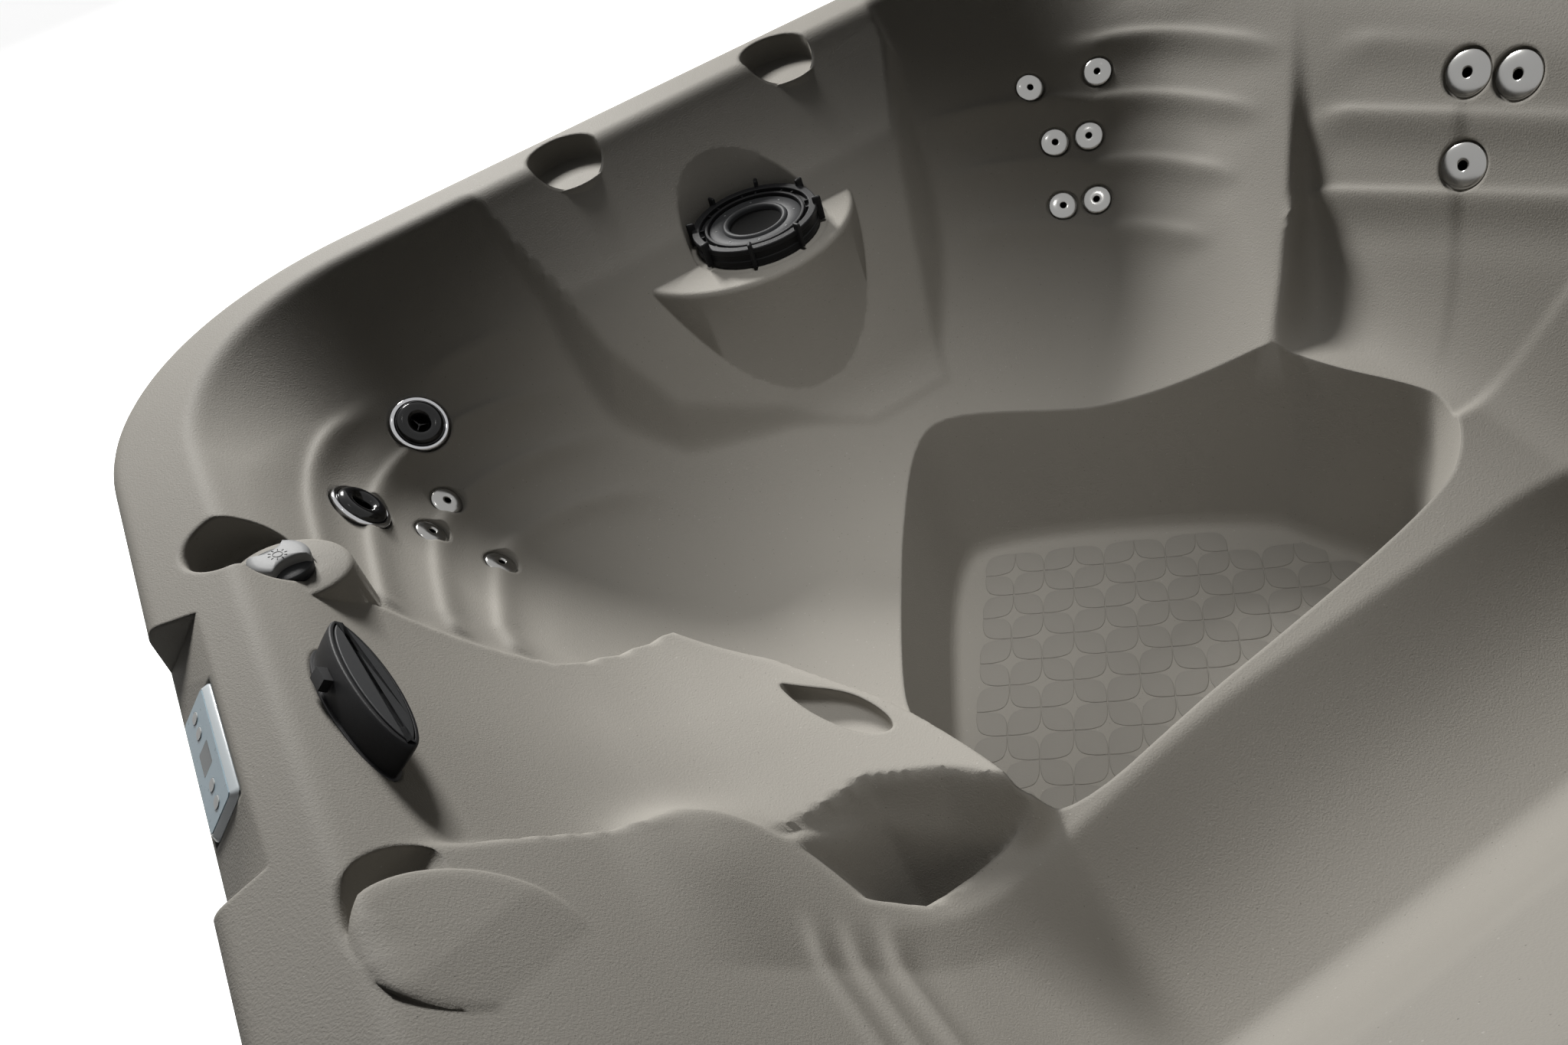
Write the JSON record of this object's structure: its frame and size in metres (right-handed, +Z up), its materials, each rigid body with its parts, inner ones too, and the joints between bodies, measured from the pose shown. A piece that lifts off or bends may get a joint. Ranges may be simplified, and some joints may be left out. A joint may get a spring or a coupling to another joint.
{
  "type": "hot tub",
  "caption": "Square one-piece moulded hot tub with corner seats, a lounge, a footwell, swirl and fixed jets, a lift-out filter, a waterfall, cup holders and a rim panel.",
  "frame": {"origin": "middle of the footprint, on the ground", "axes": "+Z up; -Y towards the side with the control panel; -X towards the side with the filter"},
  "size_m": [1.9, 1.9, 0.84],
  "materials": {
    "shell_plastic": "fine orange-peel texture",
    "black_plastic": "satin moulded",
    "graphite_plastic": "satin moulded",
    "light_grey_plastic": "satin moulded",
    "chrome": "polished",
    "steel": "polished",
    "white_plastic": "smooth",
    "pale_blue_film": "printed film",
    "display_grey": "smooth window",
    "filter_paper": "pleated paper",
    "motor_paint": "satin paint"
  },
  "bodies": {
    "tub": {"base_pan": "black_plastic", "control_box": "graphite_plastic", "control_box_lid": "black_plastic", "cord_gland": "black_plastic", "diverter_valve_body": "graphite_plastic", "drain_outlet": "black_plastic", "filter_canister": "black_plastic", "footwell_support": "black_plastic", "heater_pipe": "white_plastic", "heater_tube": "steel", "panel_case": "light_grey_plastic", "panel_display": "display_grey", "panel_film": "pale_blue_film", "pump_motor": "motor_paint", "pump_wet_end": "black_plastic", "suction_fitting": "graphite_plastic", "suction_grille": "black_plastic", "suction_pipe": "white_plastic", "swirl_jet_1_body": "graphite_plastic", "swirl_jet_2_body": "graphite_plastic", "tub_shell": "shell_plastic", "waterfall_body": "black_plastic", "waterfall_clip": "black_plastic", "waterfall_plate": "graphite_plastic"},
    "swirl_ring_1": {"swirl_jet_1_ring": "chrome"},
    "swirl_nozzle_1": {"swirl_jet_1_nozzle": "graphite_plastic"},
    "swirl_ring_2": {"swirl_jet_2_ring": "chrome"},
    "swirl_nozzle_2": {"swirl_jet_2_nozzle": "graphite_plastic"},
    "seat1_jet_1_face": {"seat1_jet_1": "steel"},
    "seat1_jet_2_face": {"seat1_jet_2": "steel"},
    "seat1_jet_3_face": {"seat1_jet_3": "steel"},
    "seat2_jet_1_face": {"seat2_jet_1": "steel"},
    "seat2_jet_2_face": {"seat2_jet_2": "steel"},
    "seat2_jet_3_face": {"seat2_jet_3": "steel"},
    "seat2_jet_4_face": {"seat2_jet_4": "steel"},
    "seat2_jet_5_face": {"seat2_jet_5": "steel"},
    "seat2_jet_6_face": {"seat2_jet_6": "steel"},
    "seat3_jet_1_face": {"seat3_jet_1": "steel"},
    "seat3_jet_2_face": {"seat3_jet_2": "steel"},
    "seat3_jet_3_face": {"seat3_jet_3": "steel"},
    "diverter_knob": {"diverter_knob": "graphite_plastic", "diverter_knob_grip": "light_grey_plastic"},
    "filter_cartridge": {"filter_cartridge": "filter_paper", "filter_weir_disc": "black_plastic"},
    "filter_lock_ring": {"filter_lock_ring": "black_plastic"},
    "panel_button_1": {"panel_button_1": "white_plastic"},
    "panel_button_2": {"panel_button_2": "white_plastic"},
    "panel_button_3": {"panel_button_3": "white_plastic"},
    "panel_button_4": {"panel_button_4": "white_plastic"},
    "access_door": {"access_door": "shell_plastic"},
    "door_latch_left": {"door_latch_left": "black_plastic"},
    "door_latch_right": {"door_latch_right": "black_plastic"},
    "drain_cap": {"drain_cap": "black_plastic"}
  },
  "joints": [
    {"name": "swirl_ring_1_turn", "type": "hinge", "parent": "tub", "child": "swirl_ring_1", "pos_m": [-0.66095, -0.58456, 0.64839], "axis": [0.6496, 0.3157, 0.6916], "range_deg": [0, 90]},
    {"name": "swirl_nozzle_1_spin", "type": "hinge", "parent": "swirl_ring_1", "child": "swirl_nozzle_1", "pos_m": [-0.66095, -0.58456, 0.64839], "axis": [0.6496, 0.3157, 0.6916], "continuous": true},
    {"name": "swirl_ring_2_turn", "type": "hinge", "parent": "tub", "child": "swirl_ring_2", "pos_m": [-0.49643, -0.71283, 0.67117], "axis": [0.1317, 0.7963, 0.5904], "range_deg": [0, 90]},
    {"name": "swirl_nozzle_2_spin", "type": "hinge", "parent": "swirl_ring_2", "child": "swirl_nozzle_2", "pos_m": [-0.49643, -0.71283, 0.67117], "axis": [0.1317, 0.7963, 0.5904], "continuous": true},
    {"name": "seat1_jet_1_turn", "type": "hinge", "parent": "tub", "child": "seat1_jet_1_face", "pos_m": [-0.55744, -0.60652, 0.57777], "axis": [0.4233, 0.5793, 0.6966], "range_deg": [0, 90]},
    {"name": "seat1_jet_2_turn", "type": "hinge", "parent": "tub", "child": "seat1_jet_2_face", "pos_m": [-0.48997, -0.64703, 0.58842], "axis": [0.1808, 0.7324, 0.6565], "range_deg": [0, 90]},
    {"name": "seat1_jet_3_turn", "type": "hinge", "parent": "tub", "child": "seat1_jet_3_face", "pos_m": [-0.44712, -0.58696, 0.51609], "axis": [0.1545, 0.6781, 0.7186], "range_deg": [0, 90]},
    {"name": "seat2_jet_1_turn", "type": "hinge", "parent": "tub", "child": "seat2_jet_1_face", "pos_m": [-0.68488, 0.55261, 0.6608], "axis": [0.6956, -0.164, 0.6995], "range_deg": [0, 90]},
    {"name": "seat2_jet_2_turn", "type": "hinge", "parent": "tub", "child": "seat2_jet_2_face", "pos_m": [-0.62704, 0.64826, 0.66188], "axis": [0.4852, -0.5645, 0.6678], "range_deg": [0, 90]},
    {"name": "seat2_jet_3_turn", "type": "hinge", "parent": "tub", "child": "seat2_jet_3_face", "pos_m": [-0.61832, 0.54074, 0.58634], "axis": [0.681, -0.2845, 0.6748], "range_deg": [0, 90]},
    {"name": "seat2_jet_4_turn", "type": "hinge", "parent": "tub", "child": "seat2_jet_4_face", "pos_m": [-0.58833, 0.58804, 0.58528], "axis": [0.5442, -0.4728, 0.6931], "range_deg": [0, 90]},
    {"name": "seat2_jet_5_turn", "type": "hinge", "parent": "tub", "child": "seat2_jet_5_face", "pos_m": [-0.55536, 0.49601, 0.51102], "axis": [0.6158, -0.2651, 0.742], "range_deg": [0, 90]},
    {"name": "seat2_jet_6_turn", "type": "hinge", "parent": "tub", "child": "seat2_jet_6_face", "pos_m": [-0.52433, 0.54146, 0.51066], "axis": [0.4565, -0.4663, 0.7578], "range_deg": [0, 90]},
    {"name": "seat3_jet_1_turn", "type": "hinge", "parent": "tub", "child": "seat3_jet_1_face", "pos_m": [-0.03632, 0.77585, 0.74479], "axis": [0.0551, -0.876, 0.4792], "range_deg": [0, 90]},
    {"name": "seat3_jet_2_turn", "type": "hinge", "parent": "tub", "child": "seat3_jet_2_face", "pos_m": [0.03135, 0.7816, 0.75573], "axis": [0, -0.888, 0.4599], "range_deg": [0, 90]},
    {"name": "seat3_jet_3_turn", "type": "hinge", "parent": "tub", "child": "seat3_jet_3_face", "pos_m": [0.00532, 0.72841, 0.64678], "axis": [0.0938, -0.8894, 0.4474], "range_deg": [0, 90]},
    {"name": "diverter_turn", "type": "hinge", "parent": "tub", "child": "diverter_knob", "pos_m": [-0.26315, -0.80801, 0.79094], "axis": [0, 0.2874, 0.9578], "range_deg": [0, 180]},
    {"name": "filter_lift", "type": "slide", "parent": "tub", "child": "filter_cartridge", "axis": [0, 0, 1], "range_m": [0, 0.25]},
    {"name": "lock_ring_turn", "type": "hinge", "parent": "filter_cartridge", "child": "filter_lock_ring", "pos_m": [-0.6403, 0, 0.6826], "axis": [0, 0, 1], "range_deg": [0, 30]},
    {"name": "panel_button_1_press", "type": "slide", "parent": "tub", "child": "panel_button_1", "axis": [0, 0.669, -0.7433], "range_m": [0, 0.0008], "stiffness_N_per_m": 200},
    {"name": "panel_button_2_press", "type": "slide", "parent": "tub", "child": "panel_button_2", "axis": [0, 0.669, -0.7433], "range_m": [0, 0.0008], "stiffness_N_per_m": 200},
    {"name": "panel_button_3_press", "type": "slide", "parent": "tub", "child": "panel_button_3", "axis": [0, 0.669, -0.7433], "range_m": [0, 0.0008], "stiffness_N_per_m": 200},
    {"name": "panel_button_4_press", "type": "slide", "parent": "tub", "child": "panel_button_4", "axis": [0, 0.669, -0.7433], "range_m": [0, 0.0008], "stiffness_N_per_m": 200},
    {"name": "door_pull_off", "type": "slide", "parent": "tub", "child": "access_door", "axis": [0, -1, 0], "range_m": [0, 0.3]},
    {"name": "door_latch_left_turn", "type": "hinge", "parent": "access_door", "child": "door_latch_left", "pos_m": [-0.3384, -0.945, 0.3924], "axis": [0, -1, 0], "range_deg": [0, 90]},
    {"name": "door_latch_right_turn", "type": "hinge", "parent": "access_door", "child": "door_latch_right", "pos_m": [0.3384, -0.945, 0.3924], "axis": [0, 1, 0], "range_deg": [0, 90]},
    {"name": "drain_cap_turn", "type": "hinge", "parent": "tub", "child": "drain_cap", "pos_m": [-0.4929, -0.95, 0.075], "axis": [0, -1, 0], "range_deg": [0, 90]}
  ]
}
